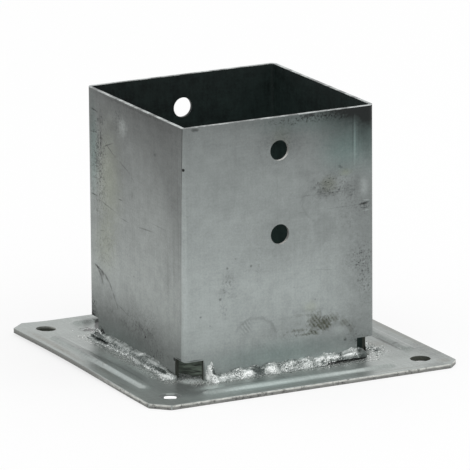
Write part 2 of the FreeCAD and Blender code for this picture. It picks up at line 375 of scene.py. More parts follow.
# Left wall, seen from the left: across runs from the back edge to the seam, so it is minus Y.
leftMarks = dict(
    # Painted light and shade: lighter in the upper back, darker towards the rim and the seam, and a darker
    # foot.
    paintedShading=marks(0.3, 0, [
        (-46, 108, 24, 40, 0.16, 0, 0.2), (50, 108, 16, 22, -0.06), (34, 142, 48, 46, -0.12, 0, 0.1),
        (52, 92, 26, 70, -0.08, 0, 0.1), (-57, 14, 11, 14, -0.24, 0, 0.2),
        (-59, 16, 5, 1.5, -0.5, 0, 0.3, 0.2), (-46, 7, 6.5, 4, -0.5, 0, 1.3), (10, 152, 60, 8, -0.06),
        (0, 12, 66, 18, -0.16, 0, 0.2), (-40, 24, 20, 10, -0.06, 0, 0.4), (58, 60, 12, 70, -0.08, 0, 0.1),
        (-2, 142, 20, 16, -0.07), (-42, 16, 18, 12, -0.07)]),
    patches=marks(0.7, 0.1, [
        (-15, 139, 8, 8, 0.34, 10, 0.5), (-46, 116, 8, 26, -0.1, 0, 1.2, 0),
        (-42, 88, 10, 20, -0.06, 0, 1.3, 0), (-18, 20, 34, 5, -0.06, -8, 0.9, 0), (-30, 142, 9, 5, 0.08),
        (-44, 138, 5, 8, -0.1), (-56, 125, 5, 30, -0.06), (-3.5, 100, 1.4, 2.6, -0.14, 0, 0.5),
        (41, 62, 5, 16, -0.07, 0, 0.4), (27, 131, 2.5, 1.5, -0.12, 0, 0.6), (24, 34, 2.5, 3, -0.1),
        (5, 30, 13, 7, -0.08, 0, 0.6), (20, 24, 10, 3, -0.08, 0, 0.9), (-46, 41, 4.5, 5, -0.16, 30, 0.5),
        (-36, 33, 10, 8, -0.12, -30, 0.7, 0), (5, 23.5, 10, 3, -0.15, -10, 0.7, 0),
        (18, 21, 8, 3.5, -0.16, -12, 0.8, 0), (-5, 28, 7, 2.4, -0.1, -14, 0.8, 0),
        (49, 14.2, 1.5, 1.3, -0.9, 0, 0.3, 0.4), (-10, 152.6, 60, 1.2, -0.1, 0, 1.2)]),
    lines=marks(0.1, 0.1, [
        (-50.2, 95, 0.6, 48, -0.17, 0, 0.2), (-44, 127, 0.9, 9, -0.42, 0, 0.5),
        (-44, 105, 0.9, 6, -0.24, 0, 0.5), (-52.5, 141.5, 6, 0.5, -0.42, -6, 0.2),
        (-54, 128, 6, 0.45, -0.27, 3, 0.2), (-50, 108, 9, 0.45, -0.21, 0, 0.2),
        (-54.5, 90, 5, 0.6, -0.6, 0, 0.2), (-34.5, 124, 9.5, 0.6, -0.33, 20),
        (-32, 121.5, 11.5, 0.6, -0.3, -24), (-13, 115, 10, 0.6, -0.27, -18),
        (-2.5, 110, 3.5, 0.6, -0.21, -40), (-19, 94.2, 4, 0.6, -0.45, 3), (-36, 86.7, 16, 0.6, -0.33, -8),
        (-14, 83, 7, 0.6, -0.33, -3), (14, 83.6, 14, 0.65, -0.33, 4), (31, 89, 12, 0.5, -0.18),
        (-44, 70, 4, 0.5, -0.33, 8, 0.3), (-23, 59.5, 4, 0.4, -0.18, 12, 0.3),
        (55.5, 97, 0.45, 52, -0.21, 0, 0.15), (58.5, 97, 0.45, 50, -0.15, 0, 0.15),
        (60.6, 128, 0.6, 26, -0.2), (56, 15.6, 6.8, 0.5, -0.5, 0, 0.2, 0.3),
        (50.1, 9.5, 0.5, 6.5, -0.5, 0, 0.2, 0.3), (-50.5, 46.5, 5.8, 1.1, -0.75, -14, 0.1, 0.2),
        (-44.5, 44.8, 5, 1.5, -0.58, -18), (-38.5, 42.5, 5, 1.4, -0.58, -32),
        (-33.4, 38.6, 5, 1.3, -0.48, -50), (-29.2, 33.6, 5, 1.2, -0.36, -52),
        (-48, 43.8, 4.8, 1.4, -0.5, -40, 0.2), (-44.6, 39.4, 4.2, 1.3, -0.38, -62, 0.2),
        (-45, 43.2, 5, 2.4, -0.26, -20, 0.4, 0), (42, 62, 1.8, 34, -0.09, 0, 0.3, 0),
        (50, 66, 2.2, 46, -0.08, 0, 0.3, 0), (-25, 28.6, 4.6, 1.1, -0.26, -52, 0.2),
        (-18, 28, 10, 0.7, -0.27, -14, 0.3)]),
    spots=marks(0.2, 0.3, [
        (-41, 51.6, 0.9, 0.8, -0.3), (-2.5, 51.6, 1, 0.8, -0.32), (12, 18.5, 1.2, 0.9, -0.4, 20, 0.3),
        (14.5, 23.5, 1.4, 0.7, -0.3, 20, 0.5), (22.5, 8.7, 0.8, 1.7, -0.9), (-12, 67, 0.8, 0.8, -0.16)]))
leftSpeckles = marks(0.7, 0, [(-46, 108, 17, 46, 1, 0, 0.6), (-50, 52, 10, 20, 0.6),
                              (-20, 142, 14, 12, 0.5), (0, 22, 44, 8, 0.5, -6, 0.8),
                              (18, 30, 16, 9, 0.6, -20, 0.8), (-57, 20, 6, 12, 1.4),
                              (30, 12, 26, 5, 0.6, 0, 0.8)])
# Thin wandering scuff lines lie in these.
leftScuffs = marks(0.4, 0, [(-48, 108, 13, 46, 1, 0, 0.3, 0.1), (-38, 60, 18, 24, 0.6),
                            (0, 24, 50, 14, 0.5)])
leftOlive = marks(0.3, 0, [(-34, 105, 24, 52, 0.9), (-40, 62, 20, 24, 0.6, 0, 0.4)])
leftTeal = marks(0.2, 0, [(-54, 120, 9, 40, 0.8, 0, 0.4), (-20, 8, 60, 14, 0.3)])
# The two hidden walls, seen from outside each.
otherMarks = marks(0.1, 0.1, [
    (-30, 118, 26, 22, -0.08, 0, 0.5, 0), (24, 60, 22, 34, 0.07, 0, 0.5, 0),
    (44, 128, 12, 18, 0.08, 0, 0.6, 0), (-46, 44, 12, 20, -0.1, 0, 0.6, 0), (8, 96, 16, 0.6, -0.22, 12),
    (-22, 71, 11, 0.5, -0.2, -8), (36, 38, 9, 0.6, -0.26, 30, 0.2), (-38, 30, 5, 3, -0.24, -20, 0.6),
    (16, 30, 1, 0.9, -0.4, 0, 0.2, 0.3), (0, 16, 50, 8, -0.1, 0, 0.4, 0), (52, 96, 0.6, 40, -0.12),
    (-10, 134, 6, 5, 0.14, 0, 0.6)])


def sheetMaterial(finish):
    made, shader, place = newMaterial("galvanisedSheet")
    x, y, z = parts(place)
    awayX, awayY = absolute(x), absolute(y)
    # The dressed seam takes the front's painted light too, as it faces the light like the front: its strip
    # round the left corner narrows towards the rim.
    strip = timesPlus(z, finish["seamNarrowing"], finish["seamStrip"])
    strip = timesPlus(strip, less(x, 0.0), finish["frontMargin"])
    onFront = less(y, minus(strip, halfSleeve))
    onLeft = less(x, times(awayY, -1.0))
    onRight = greater(x, awayY)
    front, left = (x, z), (times(y, -1.0), z)
    other = (mixValue(onRight, times(x, -1.0), y), z)

    # Painted shade: each wall darkens towards the rim, where it would mirror darker surroundings, and at its
    # foot.
    def paintedFade(top, foot, footFrom, footTo):
        rise = times(largest(minus(z, finish["paintedFadeFrom"]), 0.0), -top)
        return plus(rise, 1.0, ramp(z, footFrom, footTo, -foot, 0.0))

    frontTone = addMarks(paintedFade(*finish["frontPaintedFade"]), front, sum(frontMarks.values(), []), frontArcs)
    hatch = useGroup(brushHatch, Position=joined(x, z), Pitch=finish["hatchPitch"],
                     Turn=(0, 0, math.radians(finish["hatchTilt"])))[0]
    bristles = times(addMarks(0.0, front, frontHatchPatches), hatch)
    frontTone = timesPlus(bristles, finish["bristles"], frontTone)
    leftTone = addMarks(paintedFade(*finish["leftPaintedFade"]), left, sum(leftMarks.values(), []))
    dots = noise(place, 0.75, 3.0, 0.75)
    dotted = timesPlus(ramp(dots, 0.60, 0.68), 0.45, times(ramp(dots, 0.50, 0.36), -1.0))
    weave = absolute(swing(place, 0.10, 4.0, 0.6))
    scuffed = times(ramp(weave, 0.026, 0.004), addMarks(0.0, left, leftScuffs))
    frontTone = timesPlus(times(dotted, addMarks(0.0, front, frontSpeckles)), finish["frontDots"], frontTone)
    leftTone = timesPlus(scuffed, finish["scuffs"], leftTone)
    leftTone = timesPlus(times(dotted, addMarks(0.0, left, leftSpeckles)), finish["leftDots"], leftTone)
    otherTone = addMarks(paintedFade(*finish["otherPaintedFade"]), other, otherMarks)
    tone = mixValue(onFront, mixValue(onLeft, otherTone, leftTone), frontTone)
    grain = useGroup(sheetGrain, Position=place)
    grainShare = timesPlus(onLeft, finish["leftGrain"], 1.0)
    tone = times(tone, timesPlus(grain["Tone"], grainShare, 1.0))
    # The front is painted lighter than the sides, for the light that falls on it.
    colour = mixColour(onFront, finish["sideShadedColour"], finish["frontLitColour"])
    colour = scaled(colour, largest(tone, finish["darkest"]))
    for patches, position, onFace, tint in (
            (tealPatches, front, onFront, "tealColour"), (olivePatches, front, onFront, "oliveColour"),
            (leftOlive, left, onLeft, "oliveColour"), (leftTeal, left, onLeft, "tealColour")):
        amount = times(addMarks(0.0, position, patches), onFace, clamp=True)
        colour = mixColour(amount, colour, mixColour(1.0, colour, finish[tint], "MULTIPLY"))
    scorch = times(addMarks(0.0, front, scorchMarks), onFront, clamp=True)
    scorch = times(scorch, timesPlus(hatch, 0.46, 0.44))
    scorch = times(scorch, ramp(noise(place, 0.4, 4.0, 0.75), 0.35, 0.65, 0.6, 1.35), clamp=True)
    colour = mixColour(scorch, colour, finish["scorchColour"])

    # Inside gets painted shade, a dark colour, and a streaked glow that stands for light thrown about between
    # the walls.
    inner = halfSleeve - finish["wall"]
    inside = times(less(awayX, inner), less(awayY, inner))
    colour = mixColour(inside, colour, finish["insideShadeColour"])
    deep = plus(ramp(x, -60.0, 45.0, 0.80, 1.45), ramp(z, 120.0, 80.0, 0.0, 1.1))
    deep = timesPlus(grain["Tone"], 7.4, deep)
    deep = timesPlus(swing(place, 0.5, 3.0, 0.7, (1, 1, 0.12)), 1.8, deep)
    deep = times(deep, ramp(z, 15.0, 30.0, 0.85, 1.0))

    # The cut faces of the bolt holes get painted light and shade: the front holes' bare faces are painted
    # lighter where they catch the light, and the back holes' faces take the inside's painted shade. The
    # notches' cut faces get painted shade, and the rim a blotched painted highlight.
    bolt = smallest(*[absolute(minus(z, height)) for height in finish["boltHeights"]])
    onHole = times(less(distance(x, bolt), finish["boltRadius"]), less(awayY, halfSleeve - 0.02))
    holeFaceShading = mixColour(less(y, 0.0), finish["insideShadeColour"], finish["cutLitColour"])
    colour = mixColour(onHole, colour, holeFaceShading)
    notchEdge = minus(smallest(awayX, awayY), halfSleeve - finish["notch"])
    onNotch = times(less(absolute(notchEdge), 0.08), less(z, plateTop + finish["notch"] + 0.05))
    colour = mixColour(onNotch, colour, finish["notchShadeColour"])
    onRim = greater(z, sleeveRim - finish["rimDepth"])
    rimHighlightTone = ramp(noise(place, 0.12, 3.0, 0.7), 0.35, 0.65, 0.45, 1.5)
    colour = mixColour(onRim, colour, scaled(finish["rimHighlightColour"], rimHighlightTone))
    rough = timesPlus(grain["Tone"], -0.3, finish["roughness"])
    glow = scaled(finish["insideGlow"], times(inside, minus(1.0, onRim), deep))
    setShader(shader, {"Base Color": colour, "Roughness": largest(rough, onNotch), "Emission Color": glow,
                       "Metallic": timesPlus(onNotch, -finish["metallic"], finish["metallic"]),
                       "Emission Strength": 1.0}, grain["Height"], finish["bump"])
    return made


galvanisedSheet = sheetMaterial(sleeveFinish)
for name in ("post_sleeve", "corner_seam_weld"):
    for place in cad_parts[name].material_slots:
        place.material = galvanisedSheet
print("sleeve finished")


# Mesh helpers

def gridFaces(rows, columns, start):
    # Quads of a grid whose points run along its columns first.
    down = np.arange(rows - 1)[:, None] * columns
    along = np.arange(columns - 1)[None, :]
    corners = [down + along, down + along + 1, down + columns + along + 1, down + columns + along]
    return np.stack([corner.ravel() for corner in corners], axis=1) + start


def meshObject(name, patches, material, replaced=(), sharp=40.0, values=None):
    # Patches are point grids, rows x columns x 3 in mm. They are joined, welded and turned outwards.
    # Values are the painted shine and the crumb of every point.
    faces, start = [], 0
    for patch in patches:
        rows, columns = patch.shape[:2]
        faces.append(gridFaces(rows, columns, start))
        start += rows * columns
    points = np.concatenate([patch.reshape(-1, 3) for patch in patches]) * mm
    mesh = bpy.data.meshes.new(name)
    mesh.from_pydata(points.tolist(), [], np.concatenate(faces).tolist())
    if values is not None:
        for label, column in zip(("paintedShine", "crumb"), values.T):
            data = mesh.attributes.new(label, "FLOAT", "POINT").data
            data.foreach_set("value", np.ascontiguousarray(column))
    work = bmesh.new()
    work.from_mesh(mesh)
    bmesh.ops.remove_doubles(work, verts=work.verts, dist=1e-6)
    bmesh.ops.dissolve_degenerate(work, edges=work.edges, dist=1e-7)
    bmesh.ops.recalc_face_normals(work, faces=work.faces)
    work.to_mesh(mesh)
    work.free()
    mesh.shade_smooth()
    mesh.set_sharp_from_angle(angle=math.radians(sharp))
    mesh.materials.append(material)
    made = bpy.data.objects.new(name, mesh)
    bpy.context.collection.objects.link(made)
    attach(made, "root")
    if replaced:
        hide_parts(*replaced)
    print(name, len(mesh.polygons), "faces")


def quarterTurn(quarter):
    # Turns rows of points by so many quarters about the upright axis.
    turn = quarter * math.pi / 2
    return np.array([[math.cos(turn), math.sin(turn), 0], [-math.sin(turn), math.cos(turn), 0], [0, 0, 1]])


def smooth(low, high, value):
    share = np.clip((value - low) / (high - low), 0, 1)
    return share * share * (3 - 2 * share)


def stops(along, pairs):
    places, values = zip(*pairs)
    return np.interp(along, places, values)


def wander(place, seed, lengths):
    # The mean of sines of the given wavelengths, each with its own phase from the seed.
    phases = np.random.default_rng(seed).uniform(0, 2 * np.pi, len(lengths))
    return sum(np.sin(2 * np.pi * place / length + phase) / len(lengths)
               for length, phase in zip(lengths, phases))


# Base plate

plateShape = dict(cornerCut=10.0, rightCut=7.0, cornerRound=5.0, holeRadius=6.0, holeFromEdge=18.0,
                  ribFromEdge=14.0, ribWidth=10.5, ribCrown=0.22, ribHeight=1.5, edgeRoll=0.8,
                  edgeRollBelow=0.6, holeRoll=0.12, cornerBlock=36.0, lift=1.9, liftFrom=70.0)


def ribSwell(x, y, shape):
    # Height of the four ribs: each is a stadium about its centre line, and its section falls
    # from a flat crown to the plate in a smooth step of the distance from that line.
    line = halfPlate - shape["ribFromEdge"]
    halfRun = halfPlate - shape["cornerBlock"] - shape["ribWidth"] / 2
    swell = np.zeros_like(x)
    for along, across in ((x, y + line), (x, y - line), (y, x + line), (y, x - line)):
        past = np.maximum(np.abs(along) - halfRun, 0)
        away = np.hypot(past, across) / (shape["ribWidth"] / 2)
        swell = np.maximum(swell, shape["ribHeight"] * (1 - smooth(shape["ribCrown"], 1, away)))
    return swell


def plateLift(x, y, shape):
    # Welding has drawn the left margin up: it grows outwards from the sleeve and is
    # highest behind the middle, and it dies out at the front corner.
    outwards = np.clip((-x - shape["liftFrom"]) / (halfPlate - shape["liftFrom"]), 0, 1) ** 1.4
    along = smooth(-95, 35, y) * (1 - 0.3 * smooth(35, 100, y))
    return shape["lift"] * outwards * along


def outlineGap(x, y, shape):
    # Distance in from the plate's outline, corner cuts included.
    straight = halfPlate - np.maximum(np.abs(x), np.abs(y))
    cut = np.where((x > 0) & (y < 0), shape["rightCut"], shape["cornerCut"])
    corner = (2 * halfPlate - cut - np.abs(x) - np.abs(y)) / math.sqrt(2)
    return np.minimum(straight, corner)


def rolledEdge(gap, radius):
    # Drop of a quarter round of this radius at a distance in from an edge.
    inside = np.clip(gap, 0, radius)
    return radius - np.sqrt(np.maximum(radius ** 2 - (radius - inside) ** 2, 0))


def plateHeights(flat, shape):
    # The heights of the plate's top and of its underside.
    x, y = flat[..., 0], flat[..., 1]
    raised = ribSwell(x, y, shape) + plateLift(x, y, shape)
    hole = halfPlate - shape["holeFromEdge"]
    holeGap = np.hypot(np.abs(x) - hole, np.abs(y) - hole) - shape["holeRadius"]
    edgeGap = outlineGap(x, y, shape)
    drop = np.maximum(rolledEdge(edgeGap, shape["edgeRoll"]), rolledEdge(holeGap, shape["holeRoll"]))
    return plateTop + raised - drop, raised + rolledEdge(edgeGap, shape["edgeRollBelow"])


def spread(stretches):
    # Values from stop to stop, each stretch with its own number of steps.
    values = [stretches[0][0]]
    for (start, steps), (end, _) in zip(stretches[:-1], stretches[1:]):
        values += [start + (end - start) * step / steps for step in range(1, steps + 1)]
    return np.array(values)


def cornerLoop(acrossStops, cornerCut, radius):
    # Outline of one corner block in the positive quarter, anticlockwise from its inner corner,
    # with the corner cut and its two rounded ends as arcs, and the part of it on the plate's edge.
    inner, outer = acrossStops[0], acrossStops[-1]
    cut = outer - cornerCut
    tangent = radius * math.tan(math.radians(22.5))
    side = np.linspace(inner, cut - tangent, 22)
    rightSide = np.column_stack([np.full_like(side, outer), side])
    turns = np.radians(np.linspace(0, 45, 7))
    lowerArc = np.column_stack([outer - radius + radius * np.cos(turns),
                                cut - tangent + radius * np.sin(turns)])
    upperArc = lowerArc[::-1, ::-1]
    chamfer = np.linspace(lowerArc[-1], upperArc[0], 9)
    topSide = rightSide[::-1, ::-1]
    first = np.column_stack([acrossStops, np.full_like(acrossStops, inner)])
    last = first[::-1, ::-1]
    outside = np.concatenate([rightSide, lowerArc[1:], chamfer[1:], upperArc[1:], topSide[1:]])
    return np.concatenate([first[:-1], outside, last[1:]]), outside


def plateFlats(shape):
    # All of the plate in plan: centre, four side strips and four corner blocks round the holes,
    # then the lines that its edges follow.
    inner = halfPlate - shape["cornerBlock"]
    line = halfPlate - shape["ribFromEdge"]
    halfRib = shape["ribWidth"] / 2
    half = spread([(0, 14), (inner - 2.6 * halfRib, 22), (inner, 0)])
    along = np.concatenate([-half[:0:-1], half])
    across = spread([(inner, 7), (line - halfRib, 22), (line + halfRib, 8), (halfPlate - 0.9, 5),
                     (halfPlate, 0)])
    centre = np.stack(np.meshgrid(along, along), axis=-1)
    strip = np.stack(np.meshgrid(along, across), axis=-1)
    hole = np.array([halfPlate - shape["holeFromEdge"]] * 2)
    share = spread([(0.0, 4), (0.035, 12), (0.93, 5), (1.0, 0)])[:, None, None]
    surfaces, edges = [centre], []
    for quarter in range(4):
        cornerCut = shape["rightCut"] if quarter == 3 else shape["cornerCut"]
        loop, outside = cornerLoop(across, cornerCut, shape["cornerRound"])
        rays = loop - hole
        rim = hole + shape["holeRadius"] * rays / np.hypot(rays[:, 0], rays[:, 1])[:, None]
        block = rim[None] + (loop - rim)[None] * share
        spin = quarterTurn(quarter)[:2, :2]
        surfaces += [strip @ spin, block @ spin]
        edges += [strip[-1] @ spin, outside @ spin, rim @ spin]
    return surfaces, edges


def dressedPlate(shape, material):
    surfaces, edges = plateFlats(shape)
    patches = [np.dstack([flat, height]) for flat in surfaces for height in plateHeights(flat, shape)]
    levels = np.array([0.0, 0.33, 0.66, 1.0])[:, None]
    for line in edges:
        top, bottom = plateHeights(line, shape)
        wall = np.broadcast_to(line, (len(levels),) + line.shape)
        patches.append(np.dstack([wall, bottom + (top - bottom) * levels]))
    meshObject("pressed_base_plate", patches, material, ["base_plate"], sharp=50)


viewAcross = (0.889, -0.458)  # the photo's level direction, in plan
plateFinish = dict(
    colour=(0.330, 0.360, 0.345), edgeColour=(0.25, 0.255, 0.24), crustColour=(0.85, 0.86, 0.84),
    insideShadeColour=(0.045, 0.055, 0.045), insideGlow=(0.0205, 0.0255, 0.0205), stainColour=(0.17, 0.165, 0.135),
    holeColour=(0.045, 0.050, 0.040), litHoleColour=(0.9, 0.9, 0.9), litHoleGlow=(0.55, 0.55, 0.55),
    backHoleLitColour=(0.36, 0.37, 0.34), ringColour=(0.16, 0.175, 0.17), tealColour=(0.975, 1.0, 1.015),
    metallic=0.7, roughness=0.33, edgeRoughness=0.6, mattMetallic=0.2, bump=(0.10, 0.5),
    clouds=0.45, grit=0.62, drawnLines=0.46, stains=0.85, crust=0.75, soot=0.65, cloudRoughness=0.25,
    edgeDepth=0.25, cornerDepth=0.35, crustReach=(13.5, 8.5), notchLight=(10.0, 2.2))

# Marks on the plate, seen from above: across is X and up is Y, in mm. Besides soot and smudges they
# hold painted light and shade: highlights on the front rib's flank and the front arris, light in front
# of the front left notch, and shade under the front bead's lifted toe and beside the spatter at the right.
plateSmudgesAndShading = marks(0.2, 0.2, [
    (-10, -90, 80, 12, 0.17, 0, 0.1, 0.4), (-56, -61.5, 11, 8.5, 1.9, -27, 0.15, 0.4),
    (-52, -76, 20, 6, 0.3), (-51.6, 73, 2.8, 14, -0.92, -24, 0.2, 0.6),
    (-47, 86, 2.8, 9, -0.45, -24, 0.4, 0.4), (-60.5, 69, 6, 5.4, -0.85, -27, 1.3, 0.1),
    (-58.6, 66.2, 4.4, 4.4, -0.75, -27, 1.2, 0.1), (-54, 83, 6.5, 22, -0.42, -27, 0.6, 0),
    (84, -97, 12, 7, -0.34, 0, 0.5, 0.1), (-81.3, 38, 2.4, 32, 0.3), (-86, 42, 3.2, 30, -0.14, 0, 0.3),
    (-90, 58, 16, 44, -0.05), (-45, -89, 36, 12, 0.16, 0, 0.2, 0.3), (-90, -60, 10, 26, 0.14, 0, 0.4, 0.1),
    (44, -64.9, 13, 2.5, -0.62, 0, 0.2, 0.5), (-55, -79, 14, 7, 0.75, 0, 0.5, 0.1),
    (-51.2, -64, 4.5, 3.5, 0.9, -27, 0.6), (46, -69.8, 15, 1.5, 0.35, 0, 0.3, 0.3),
    (66.5, -49.5, 4.5, 6.5, -0.65, 0, 0.9), (84, -49, 5, 1.6, -0.25, -50, 0.8, 0.1),
    (90, 20, 6, 40, -0.24, 0, 0.6, 0.1), (84, -25, 28, 75, -0.2, 0, 0.1, 0.3),
    (95, -72, 12, 32, -0.3, 0, 0.3), (-83.5, -4, 3, 2.6, -0.35, 0, 0.9, 0.1),
    (-82.4, 10, 0.9, 14, -0.3, -3, 0.5, 0.1), (-78, -12, 16, 60, 0.06),
    (-4, -89.2, 58, 3.3, 0.5, 0, 0.1, 0.5), (-25, -89.6, 34, 1.5, 0.3, 0, 0.2, 0.3),
    (0, -97.6, 90, 1, 0.3, 0, 0.5), (-80.6, -16, 1.2, 44, -0.3, 0, 0.1), (-88.5, -32, 2.6, 31, 0.14),
    (-86, 14, 5.5, 28, -0.34, 0, 0.6), (-84, 0, 40, 0.8, -0.1, 0, 0.6, 0.1),
    (-20, -79, 60, 2.2, -0.14, 0, 0.4), (-47, -69.5, 7, 3.2, 0.3, 0, 0.6),
    (-10, -94.4, 60, 1.6, -0.12, 0, 0.3), (-76, -20, 5, 60, 0.04, 0, 0.5, 0.1),
    (-72.5, -28, 5, 26, 0.7, 0, 0.5, 0.1), (-76, 4, 6, 30, 0.42, 0, 0.5, 0.1),
    (-72, 12, 0.7, 16, 0.22, 20, 0.4), (-76, -38, 0.7, 14, 0.2, -8, 0.4),
    (-95, -60, 2, 30, -0.1, 2, 0.8, 0.1), (81, -40, 1.3, 24, -0.4, 0, 0.3),
    (88, -34, 1.6, 24, -0.12, 0, 0.6), (72, -70, 14, 9, -0.08, 0, 0.9, 0.1),
    (-86, 62, 14, 26, -0.06, 0, 0.9, 0.1), (30, -76, 34, 1.2, 0.1, 1, 0.6),
    (-34, -75.5, 20, 1.2, 0.1, -2, 0.6)])
# Patches of thrown grains, apart from the band along each toe.
plateCrust = marks(0.6, 0, [(-50.6, 74, 4.5, 17, -2.5, -27, 0.1, 0.7), (-50, -67, 7, 4.5, 1.3),
                            (68, -50, 7, 8, 1.3, 30, 0.5), (62, -66, 7, 5, 0.8),
                            (-67, 54, 3, 5, 0.8, 10, 0.8), (-88, -10, 3, 3, 0.5, 0, 0.8)])
# A teal tint of painted reflection, where the plate mirrors the dark sleeve.
plateReflectionTeal = marks(0.2, 0, [(-84, -30, 22, 66, 1), (-20, -90, 80, 26, 1)])
plateStains = marks(0.8, 0.1, [
    (-93, -20, 3, 22, 0.5), (97.5, -20, 3, 80, 0.6, 0, 0.5), (-95, 52, 4, 40, 0.7), (-96, 20, 3, 30, 0.5),
    (-87, -8, 3, 2, 0.6, 20, 0.7), (93, -92, 6, 6, 0.6), (74, -42, 9, 9, 0.5, 0, 0.9),
    (60, -96, 30, 2, 0.4, 0, 0.9), (-20, -97, 50, 2, 0.5, 0, 0.9), (-54, -66, 12, 5, 0.5, 0, 0.7),
    (84, 10, 4, 40, 0.3)])


def plateMaterial(finish, shape):
    made, shader, place = newMaterial("galvanisedPlate")
    x, y, z = parts(place)
    flat, plan = joined(x, y), (x, y)
    slanted = addNode("ShaderNodeMapping", {"Vector": flat,
                                            "Rotation": (0, 0, math.radians(camera["yaw"]))}).outputs[0]
    awayX, awayY = absolute(x), absolute(y)
    reach = largest(awayX, awayY)
    clouds = swing(flat, 0.05, 3.0, 0.6)
    grit = noise(slanted, 1.1, 3.0, 0.75, (1, 0.42, 1))
    tone = timesPlus(clouds, finish["clouds"], 1.0)
    tone = timesPlus(minus(grit, 0.5), finish["grit"], tone)
    drawn = plus(swing(flat, 0.8, 2.0, 0.6, (0.06, 1.2, 1)), swing(flat, 0.8, 2.0, 0.6, (1.2, 0.06, 1)))
    tone = timesPlus(drawn, finish["drawnLines"], tone)
    colour = scaled(finish["colour"], largest(addMarks(tone, plan, plateSmudgesAndShading), 0.1))
    teal = times(addMarks(0.0, plan, plateReflectionTeal), 1.0, clamp=True)
    colour = mixColour(teal, colour, mixColour(1.0, colour, finish["tealColour"], "MULTIPLY"))
    stain = times(addMarks(0.0, plan, plateStains), finish["stains"], clamp=True)
    colour = mixColour(stain, colour, finish["stainColour"])

    # A crust of fine light grains, with soot between, lies along the toes of the welds.
    toeFrom, toeTo = [halfSleeve + value for value in finish["crustReach"]]
    band = times(ramp(reach, toeFrom, toeTo), ramp(smallest(awayX, awayY), halfSleeve + 1, halfSleeve - 4))
    thrown = addMarks(band, plan, plateCrust)
    specks = noise(slanted, 1.15, 2.0, 0.7, (1, 0.42, 1))
    crust = times(thrown, ramp(specks, 0.53, 0.60), clamp=True)
    colour = mixColour(times(crust, finish["crust"]), colour, finish["crustColour"])
    soot = times(thrown, ramp(specks, 0.46, 0.40), clamp=True)
    colour = mixColour(times(soot, finish["soot"]), colour, finish["holeColour"])

    # Sheared edges are dull and speckled, with a painted highlight towards the arris. Along the left side,
    # fading out towards the front corner, the edge is plain instead and darker towards the bottom.
    rightFront = greater(minus(x, y), 1.5 * halfPlate)
    cornerReach = minus(plus(awayX, awayY), times(rightFront, shape["cornerCut"] - shape["rightCut"]))
    cornerLine = 2 * halfPlate - shape["cornerCut"] - finish["cornerDepth"]
    edge = largest(greater(reach, halfPlate - finish["edgeDepth"]), greater(cornerReach, cornerLine))
    edgeSpecklesAndHighlight = timesPlus(noise(place, 0.9, 3.0, 0.75, (0.25, 0.25, 1.6)), 1.8, 0.1)
    chipped = ramp(noise(place, 0.30, 4.0, 0.75), 0.52, 0.62, 1.0, 0.45)
    edgeSpecklesAndHighlight = times(edgeSpecklesAndHighlight, chipped, ramp(z, 1.5, 2.3, 0.85, 2.1))
    plainSide = times(less(plus(x, awayY), 0.0), ramp(y, -70.0, -10.0))
    raised = times(ramp(y, -95.0, 35.0, 0.0, shape["lift"]), ramp(y, 35.0, 100.0, 1.0, 0.7))
    plainSideTone = ramp(minus(z, raised), 1.5, 2.1, 0.68, 0.84)
    colour = mixColour(edge, colour, scaled(finish["edgeColour"], mixValue(plainSide, edgeSpecklesAndHighlight, plainSideTone)))

    # The floor inside the sleeve gets painted shade, which stops a little way in from the walls and further
    # in at the front left notch, where light falls in.
    farIn, nearIn = [halfSleeve - value for value in finish["notchLight"]]
    darkFrom = ramp(plus(x, y), -92.0, -100.0, nearIn, farIn)
    inside = ramp(minus(reach, darkFrom), 0.2, -0.2)
    colour = mixColour(inside, colour, finish["insideShadeColour"])

    # The walls of the anchor holes are dark, with painted light on them: the front one gets a white, glowing
    # patch low in its middle that stands for the pale ground seen through it, and the back one a lit band on
    # its far side.
    def aside(lineX, lineY):
        return plus(times(plus(x, lineX), viewAcross[0]), times(plus(y, lineY), viewAcross[1]))

    line = halfPlate - shape["holeFromEdge"]
    onWall = less(distance(minus(awayX, line), minus(awayY, line)), shape["holeRadius"] + 0.06)
    frontWall = times(less(plus(x, y), -1.2 * halfPlate), onWall)
    frontAside = absolute(aside(line, line))
    lit = times(ramp(z, 1.35, 1.0), ramp(frontAside, 3.8, 3.3), frontWall)
    pale = times(ramp(z, 1.5, 2.0), ramp(frontAside, 3.0, 1.8))
    atBack = times(less(x, 0.0), greater(y, 0.0))
    backLit = times(atBack, onWall, ramp(z, 1.6, 2.8), ramp(aside(line, -line), 0.5, 4.0, 0.45, 1.0))
    colour = mixColour(onWall, colour, finish["holeColour"])
    colour = mixColour(backLit, colour, finish["backHoleLitColour"])
    colour = mixColour(frontWall, colour, mixColour(pale, finish["ringColour"], finish["colour"]))
    colour = mixColour(lit, colour, finish["litHoleColour"])

    matt = largest(edge, onWall, inside, times(crust, 0.5))
    rough = timesPlus(matt, finish["edgeRoughness"] - finish["roughness"], finish["roughness"])
    # Painted light: the floor inside the sleeve glows faintly and patchily, more towards the front and less
    # by the walls, and the lit patch of the front hole glows as the pale ground.
    floorTone = ramp(noise(slanted, 0.32, 3.0, 0.75, (0.55, 0.8, 1)), 0.36, 0.64, 0.2, 3.6)
    floorTone = times(floorTone, ramp(y, -20.0, -50.0, 0.7, 1.25), ramp(reach, 46.0, 51.0, 1.0, 0.4))
    glow = mixColour(lit, scaled(finish["insideGlow"], times(inside, floorTone)), finish["litHoleGlow"])
    metallic = timesPlus(matt, finish["mattMetallic"] - finish["metallic"], finish["metallic"])
    rough = timesPlus(clouds, finish["cloudRoughness"], rough)
    setShader(shader, {"Base Color": colour, "Roughness": rough, "Metallic": metallic,
                       "Emission Color": glow, "Emission Strength": 1.0},
              plus(grit, times(crust, 0.6)), finish["bump"])
    return made


dressedPlate(plateShape, plateMaterial(plateFinish, plateShape))


# Fillet welds

